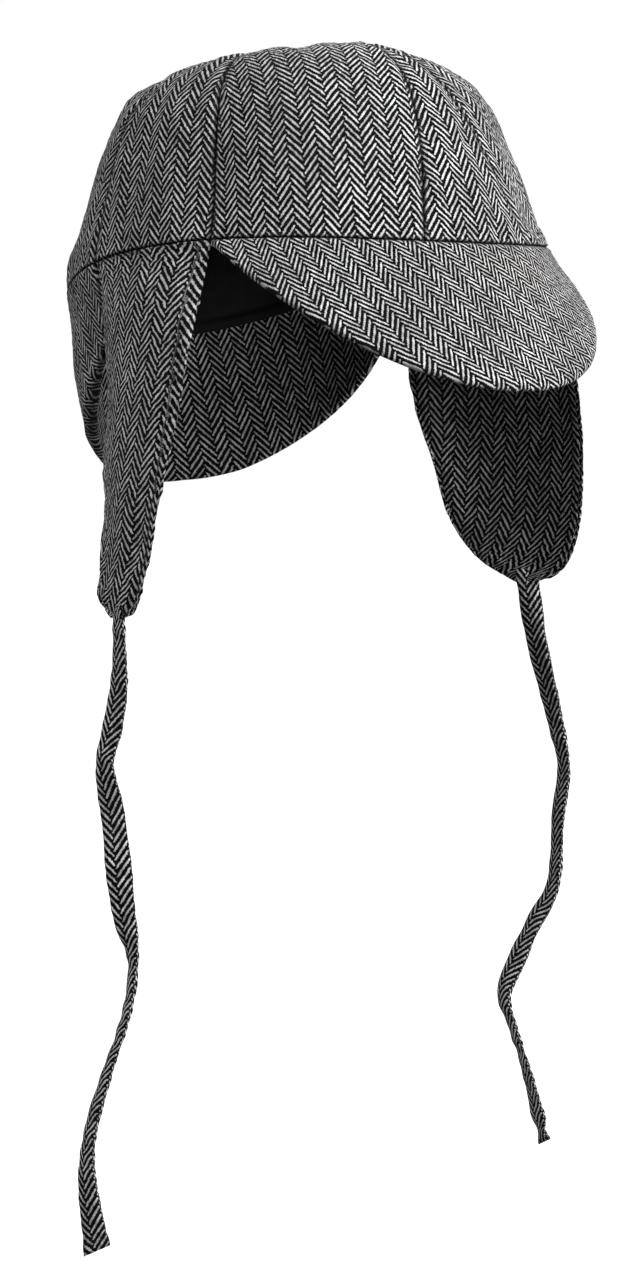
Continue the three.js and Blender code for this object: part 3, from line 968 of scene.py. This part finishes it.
def make_gore(index, material):
    name, lean = CROWN_SEAMS[index][2:]
    angle, rise, share = gore_grid(index)
    skin = crown_point(angle, rise)
    normal = crown_normal(angle, rise)
    away = smooth(rise, 0, CROWN_RIM_BLEND)
    to_seam = edge_distance(skin, [skin[:, 0], skin[:, -1]])
    to_edge = np.minimum(to_seam, edge_distance(skin, [skin[0]]))
    relief = gore_relief(index, skin, rise, share, to_seam, to_edge)
    folds = crown_folds(skin) * away
    middle = skin + inward_offset(rim_outward(angle), normal, away, GORE_THICKNESS / 2)
    half = (skin - middle) * round_edge(to_edge, GORE_EDGE_ROUNDING)[..., None]
    outer = middle + half + normal * (relief + folds)[..., None]
    inner = middle - half + normal * folds[..., None]
    up = arc_along(outer[:, outer.shape[1] // 2])[:, None] + 0 * rise
    weaves = [leaning_weave(grid, up, math.radians(lean)) for grid in (outer, inner)]
    # Painted shade in the grooves at the rim and seams, with a fuzzy grey beside them.
    wear_and_shade = np.exp(-to_edge / (1.5 + 0.5 * Ripple(70 + index, 4)(skin)))
    # The seams' painted shade spreads over about SEAM_SHADE mm.
    wear_and_shade = np.maximum(wear_and_shade, bell(to_seam, SEAM_SHADE))
    gore = sewn_body(name + "_cloth", outer, inner, weaves, wear_and_shade, material)
    dress(gore, name)


def lining_walls(angle, rise):
    """The lining's outer and inner grids, from its turned lower edge to the top."""
    skin = crown_point(angle, rise)
    normal = crown_normal(angle, rise)
    outward = rim_outward(angle)
    away = smooth(rise, 0, CROWN_RIM_BLEND)
    offset = GORE_THICKNESS + SEAM_GAP + HEM_STEP_IN * (1 - smooth(rise, 0, 0.03))
    seams = np.radians([row[0] for row in CROWN_SEAMS])
    gap = np.min(np.abs((angle[..., None] - seams + np.pi) % (2 * np.pi) - np.pi), -1)
    ridge = 0.5 * bell(gap * LINING_RADIUS, 2.5) * smooth(rise, 0.15, 0.3)
    slack = 0.35 * Ripple(21, 30)(skin) * smooth(rise, 0.1, 0.3)
    band = 0.9 * (1 - smooth(rise, 0.22, 0.235))
    depth = offset + LINING_THICKNESS + ridge + slack + band
    dented = normal * (np.minimum(crown_folds(skin), 0.3) * away - 0.3)[..., None]
    outer = skin + inward_offset(outward, normal, away, offset) + dented
    inner = skin + inward_offset(outward, normal, away, depth) + dented
    drop, step_out, step_in = np.transpose(LINING_HEM)[:, :, None, None]
    below = skin[0] - drop * np.array([0, 0, 1])
    hem_outer = below - outward[0] * (offset[0][:, None] + step_out)
    hem_inner = below - outward[0] * (depth[0][:, None] - step_in)
    return np.concatenate([hem_outer, outer]), np.concatenate([hem_inner, inner])


def shell_faces(rows, columns, girth, up):
    """Faces and weave places of two round walls, joined below and each closed at the top."""
    outer = round_index(rows, columns)
    inner = outer + rows * columns
    below = squares(np.stack([outer[0], inner[0]]))[:, BACKWARD]
    weave = squares(stack(girth, up[:, None]))
    weave_below = squares(stack(girth, [[0], [1]]))[:, BACKWARD]
    faces = np.concatenate([squares(outer), squares(inner)[:, ::-1], below]).tolist()
    uvs = [weave, weave[:, ::-1], weave_below]
    for wall, order, top in ((outer, 1, 2 * inner[0, 0]), (inner, -1, 2 * inner[0, 0] + 1)):
        pairs = np.stack([np.arange(columns), np.arange(columns) + 1], 1)[:, ::order]
        faces += np.insert(wall[-1][pairs], 2, top, 1).tolist()
        uvs.append(stack(np.column_stack([girth[pairs], girth[:-1]]), up[-1]))
    return faces, np.concatenate([part.reshape(-1, 2) for part in uvs])


def make_lining(material):
    angle = 2 * np.pi * np.arange(LINING_AROUND) / LINING_AROUND
    girth = arc_along(rim_point(np.append(angle, 2 * np.pi)))
    rise, angle = np.meshgrid(even_rises(LINING_ROWS), angle, indexing="ij")
    outer, inner = lining_walls(angle, rise)
    up = arc_along(outer[:, 0])
    tops = [outer[-1].mean(0), inner[-1].mean(0)]
    points = np.concatenate([outer.reshape(-1, 3), inner.reshape(-1, 3), tops])
    faces, uvs = shell_faces(*outer.shape[:2], girth, up)
    wear_and_shade = np.zeros(len(points))
    lining = make_mesh("crown_lining_cloth", points, faces, uvs, wear_and_shade, material)
    dress(lining, "crown_lining")


# Peaks


def peak_relief(name, peak, skin, across, out, to_edge, to_hem):
    wave = 0.35 * Ripple(60 + len(name), 60)(skin) * smooth(to_edge, 0, 8)
    hem = 0.3 * bell(to_hem - 3, 2)
    low, high, fullness = peak["side_swell"]
    side = window(across, (low, lerp(low, high, 0.4)), (lerp(low, high, 0.6), high))
    swollen = fullness * side * smooth(out, 0.15, 0.6)
    return (wave + swollen + hem) * smooth(to_edge, -0.5, 4) + 0.1 * Ripple(66, 3.4)(skin)


def peak_hem_move(peak, skin, across, out, to_hem):
    """The cloth near a peak's hem let out, and tucked along the rim at one side."""
    below_rim = smooth(out, 0.2, 0.6)
    sewn_down = smooth(1 - np.abs(across), 0.02, 0.16)
    further = np.interp(across, peak["hem_places"], peak["hem_reach"]) * np.exp(-to_hem / 9)
    tucked = window(across, (0.62, 0.86), (0.95, 0.995)) * np.exp(-to_hem / 5)
    along_rim = unit(np.gradient(skin[0], axis=0))[None]
    let_out = unit(skin[-1] - skin[-4])[None] * (further * below_rim * sewn_down)[..., None]
    return let_out + peak["tuck"] * along_rim * (tucked * below_rim)[..., None]


def peak_weave(skin, grain):
    """Places along the rim and in from it, turned to the cloth's grain."""
    reach = skin - skin[0]
    tangent = unit(np.gradient(skin[0], axis=0))
    sidelong = np.sum(reach * tangent[None], -1)
    rim_way = arc_across(skin[:1]) + sidelong
    depth = np.sqrt(np.maximum(np.sum(reach * reach, -1) - sidelong**2, 0))
    (rim_across, depth_across), (rim_along, depth_along) = grain
    return stack(
        rim_way * rim_across + depth * depth_across, rim_way * rim_along + depth * depth_along
    )


def make_peak(name, peak, material):
    margin = SEAM_GAP / HEAD_HALF_WIDTH / math.radians(peak["half_span"])
    across, out = cloth_grid(PEAK_COLUMNS, PEAK_ROWS, 0.85, margin)
    outward = rim_outward(np.radians(peak["middle_angle"] + across * peak["half_span"]))
    skin = peak_point(peak, across, out)
    normal = surface_normal(
        lambda u, v: peak_point(peak, u, v),
        np.clip(across, -0.98, 0.98),
        np.maximum(out, 0.02),
        outward + np.array([0, 0, PEAK_HINT_RISE]),
    )
    away = smooth(out, 0, PEAK_RIM_BLEND)
    to_edge = edge_distance(skin, [skin[0], skin[-1], skin[:, 0], skin[:, -1]])
    to_hem = edge_distance(skin, [skin[-1]])
    to_rim = edge_distance(skin, [skin[0]])
    relief = peak_relief(name, peak, skin, across, out, to_edge, to_hem)
    hem_move = peak_hem_move(peak, skin, across, out, to_hem)
    middle = skin + inward_offset(outward, normal, away, PEAK_THICKNESS / 2)
    half = (skin - middle) * round_edge(to_edge, PEAK_THICKNESS / 2)[..., None]
    outer = middle + half + normal * relief[..., None] + hem_move
    inner = middle - half + hem_move
    weave = peak_weave(skin, peak["grain"])
    # Painted shade in the groove at the rim seam, and a fuzzy grey along the edges.
    wear_and_shade = np.maximum(np.exp(-to_rim / 1.3), 0.48 * np.exp(-to_edge / 1.6))
    # On one side of the hem, a painted shadow as dark as hem_shade gives.
    shade = peak["hem_shade"] * bell(to_hem, 2.7) * smooth(across, 0.4, 0.6)
    wear_and_shade = np.maximum(wear_and_shade, shade)
    piece = sewn_body(name + "_cloth", outer, inner, [weave, weave], wear_and_shade, material)
    dress(piece, name)
    columns = arc_from_first(skin.transpose(1, 0, 2))[:, -1]


# Ear flaps


def pad_object(outer, inner):
    """Two joined grids as a mesh object, with the number of each grid point."""
    index, under, inside = paired_index(outer.shape[:2])
    points = np.concatenate([outer.reshape(-1, 3), inner[inside]]) * MM * PAD_SCALE
    faces = squares(index).tolist() + squares(under)[:, ::-1].tolist()
    mesh = bpy.data.meshes.new("pad")
    mesh.from_pydata(points.tolist(), [], faces)
    pad = bpy.data.objects.new("pad", mesh)
    bpy.context.scene.collection.objects.link(pad)
    held = index[~inside].tolist() + index[:3].ravel().tolist() + under[:3].ravel().tolist()
    pad.vertex_groups.new(name="held").add(sorted(set(held)), 1.0, "REPLACE")
    return pad, points, index, under


def blow_out(pad):
    """Runs a pad's cloth simulation and gives back its points."""
    cloth = pad.modifiers.new("cloth", "CLOTH")
    cloth.settings.quality = 6
    cloth.settings.mass = 0.3
    cloth.settings.bending_stiffness = 0.4
    cloth.settings.use_pressure = True
    cloth.settings.uniform_pressure_force = PAD_PRESSURE
    cloth.settings.shrink_min = -PAD_GROWTH
    cloth.settings.vertex_group_mass = "held"
    cloth.settings.effector_weights.gravity = 0
    cloth.collision_settings.use_collision = False
    cloth.point_cache.frame_start = 1
    cloth.point_cache.frame_end = PAD_FRAMES
    scene = bpy.context.scene
    for frame_number in range(1, PAD_FRAMES + 1):
        scene.frame_set(frame_number)
    blown = pad.evaluated_get(bpy.context.evaluated_depsgraph_get()).data
    moved = np.empty(len(pad.data.vertices) * 3, np.float32)
    blown.vertices.foreach_get("co", moved)
    return moved.reshape(-1, 3)


def spread_moves(moves, rows, columns, shape):
    """A coarse grid's moves, read off at every point of the fine grid."""
    down, over = [
        np.array([np.interp(np.arange(count), places, one) for one in np.eye(len(places))])
        for count, places in zip(shape, (rows, columns))
    ]
    return np.einsum("ri,rck,cj->ijk", down, moves, over, optimize=True)


def swell(outer, inner):
    """How far each point of two joined grids moves when they are blown out as a cloth pad.

    A coarser copy is simulated at ten times its size, and its moves are spread back."""
    shape = outer.shape[:2]
    rows, columns = [
        np.unique(np.linspace(0, size - 1, count).round().astype(int))
        for size, count in zip(shape, PAD_GRID)
    ]
    coarse = np.ix_(rows, columns)
    pad, points, index, under = pad_object(outer[coarse], inner[coarse])
    shift = (blow_out(pad) - points) / MM / PAD_SCALE
    far = np.linalg.norm(shift, axis=-1, keepdims=True)
    shift = shift * np.minimum(1, PAD_MOST_MOVE / np.maximum(far, 1e-9))
    mesh = pad.data
    bpy.data.objects.remove(pad)
    bpy.data.meshes.remove(mesh)
    bpy.context.scene.frame_set(1)
    return [spread_moves(shift[grid], rows, columns, shape) for grid in (index, under)]


def flap_pose(points, side):
    """Small moves that give each flap its own hang: placed points in, moved points out."""
    placed = points.copy()
    down = -points[..., 2]
    for sets_in, fades_out, y_range, move in FLAP_MOVES[side]:
        weight = window(down, sets_in, fades_out) * smooth(points[..., 1], *y_range)
        placed += weight[..., None] * np.array(move)
    return placed


def flap_fullness(down, to_top, to_front, to_hem):
    """A flap's share of its full thickness: rounded at its edges, boxier along the front."""
    at_top = round_edge(to_top, 1.2)
    rounded = np.minimum(round_edge(to_hem + 0.001, 4.6), at_top)
    boxy = np.minimum(round_edge(to_front, 2.6), at_top)
    return lerp(rounded, boxy, bell(to_front, 9) * (1 - smooth(down, 0.6, 0.85)))


def flap_relief(side, skin, down, to_top, to_front, to_hem):
    waves = 0.5 * Ripple(80 + side, 34)(skin) * smooth(to_hem, 0, 8) * smooth(to_top, 0, 10)
    pucker = 0.3 * Ripple(84 + side, 8)(skin) * np.exp(-to_hem / 6) * smooth(to_hem, 0, 2)
    twist = crease(skin, *FLAP_TWIST) * smooth(to_hem, 0, 4)
    groove_place = lerp(4.2, 2, smooth(down, *BAND_TAPER))
    groove = 0.7 * bell(to_front - groove_place, 1.1)
    groove = groove * smooth(to_top, 0, 3) * (1 - smooth(down, *BAND_END))
    return waves, pucker + 0.12 * Ripple(90 + side, FUZZ_LENGTH)(skin) - groove + twist


def flap_weaves(side, outer, inner, from_front, band):
    length = -arc_along(outer[:, outer.shape[1] // 2])[:, None] + 0 * from_front
    inner_front = arc_from_first(inner)
    ease = FLAP_WEAVE_EASE[side]
    weaves = []
    for sideways in (from_front, inner_front):
        eased = ease * sideways + (1 - ease) * sideways**2 / sideways.max() / 2
        weaves.append(stack(eased * side, length))
    stretch = COLUMN_WIDTH / (band + FLAP_BAND_UNDER)
    banded = stack((FLAP_BAND_UNDER + from_front) * stretch, length)
    banded_in = stack((FLAP_BAND_UNDER - inner_front) * stretch, length)
    return [
        np.where((from_front < band)[..., None], banded, weaves[0]),
        np.where((inner_front < FLAP_BAND_UNDER)[..., None], banded_in, weaves[1]),
    ]


def make_flap(name, side, material):
    across, down = cloth_grid(FLAP_COLUMNS, FLAP_ROWS, 0.7, SEAM_GAP / (FLAP_WIDTH / 2))
    skin = flap_point(across, down)
    outward = rim_outward(lerp(FLAP_START, FLAP_END, (across + 1) / 2))
    normal = surface_normal(flap_point, across, np.clip(down, 0.002, 0.998), outward)
    away = smooth(down, 0, FLAP_RIM_BLEND)
    to_top = edge_distance(skin, [skin[0]])
    to_front = edge_distance(skin, [skin[:, 0]])
    to_hem = np.minimum(edge_distance(skin, [skin[-1], skin[:, -1]]), to_front)
    half = FLAP_THICKNESS / 2 * lerp(PEAK_THICKNESS / FLAP_THICKNESS, 1, away)
    middle = skin + inward_offset(outward, normal, away, half)
    thick = half * flap_fullness(down, to_top, to_front, to_hem)
    waves, detail = flap_relief(side, skin, down, to_top, to_front, to_hem)
    direction = unit(skin - middle)
    outer = middle + direction * (thick + waves + detail)[..., None]
    inner = middle - direction * (thick - waves * 0.6)[..., None]
    outer_move, inner_move = swell(outer, inner)
    outer = outer + outer_move
    inner = inner + inner_move
    outer = flap_pose(place_on_side(outer, side), side)
    inner = flap_pose(place_on_side(inner, side), side)
    from_front = arc_from_first(outer)
    band = lerp(FLAP_BAND_TOP, FLAP_BAND_LOW, smooth(down, *BAND_TAPER))
    weaves = flap_weaves(side, outer, inner, from_front, band)
    # Painted shade in the groove at the band's edge and at the top seam, a fuzzy grey at the hem.
    band_edge_shade = 0.97 * bell(from_front - band, 0.6) * (1 - smooth(down, *BAND_END))
    wear_and_shade = np.maximum(np.exp(-to_top / 1.4), 0.25 * np.exp(-to_hem / 0.6))
    piece = sewn_body(name + "_cloth", outer, inner, weaves, np.maximum(wear_and_shade, band_edge_shade), material)
    dress(piece, name)


# Studio


def area_light(name, place, target, size, power):
    data = bpy.data.lights.new(name, "AREA")
    data.shape = "DISK"
    data.size = size
    data.energy = power
    lamp = bpy.data.objects.new(name, data)
    lamp.location = place
    lamp.rotation_euler = (Vector(target) - Vector(place)).to_track_quat("-Z", "Y").to_euler()
    lamp.visible_camera = False
    bpy.context.scene.collection.objects.link(lamp)


def plain_material(name, colour, glow):
    n = Nodes(name)
    n.feed(n.shader, Base_Color=colour, Roughness=0.9)
    n.feed(n.shader, Emission_Color=(1, 1, 1, 1), Emission_Strength=glow)
    return n.material


def make_floor_and_dome():
    bpy.ops.mesh.primitive_circle_add(
        vertices=96, radius=FLOOR_RADIUS, fill_type="NGON", location=(0, 0, FLOOR_HEIGHT)
    )
    floor = bpy.context.object
    floor.name = "floor"
    floor.data.materials.append(plain_material("floor", (0.4, 0.4, 0.4, 1), 0.97))
    bpy.ops.mesh.primitive_uv_sphere_add(segments=48, ring_count=24, radius=DOME_RADIUS)
    dome = bpy.context.object
    dome.name = "backdrop"
    dome.data.materials.append(plain_material("backdrop", (0, 0, 0, 1), 1.0))
    for thing in (floor, dome):
        thing.visible_diffuse = False
        thing.visible_glossy = False
        thing.visible_shadow = False


def make_world():
    world = bpy.data.worlds.new("studio")
    bpy.context.scene.world = world
    world.use_nodes = True
    nodes = world.node_tree.nodes
    links = world.node_tree.links
    place = nodes.new("ShaderNodeTexCoord")
    split = nodes.new("ShaderNodeSeparateXYZ")
    ramp = nodes.new("ShaderNodeMapRange")
    for k, value in enumerate(WORLD_HEIGHTS + WORLD_STRENGTHS):
        ramp.inputs[k + 1].default_value = value
    links.new(place.outputs["Generated"], split.inputs[0])
    links.new(split.outputs[2], ramp.inputs["Value"])
    links.new(ramp.outputs[0], nodes["Background"].inputs["Strength"])
    nodes["Background"].inputs["Color"].default_value = (1, 1, 1, 1)


make_camera()
tweed = tweed_material()
lining_cloth = lining_material()
make_tie("tie_right", -1, TIE_RIGHT_ROUTE, tweed)
make_tie("tie_left", 1, TIE_LEFT_ROUTE, tweed)
for gore_index in range(len(CROWN_SEAMS)):
    make_gore(gore_index, tweed)
make_lining(lining_cloth)
make_peak("front_peak", FRONT_PEAK, tweed)
make_peak("back_peak", BACK_PEAK, tweed)
make_flap("ear_flap_left", 1, tweed)
make_flap("ear_flap_right", -1, tweed)
make_floor_and_dome()
make_world()
for light in LIGHTS:
    area_light(*light)
bpy.context.scene.view_settings.view_transform = "Standard"
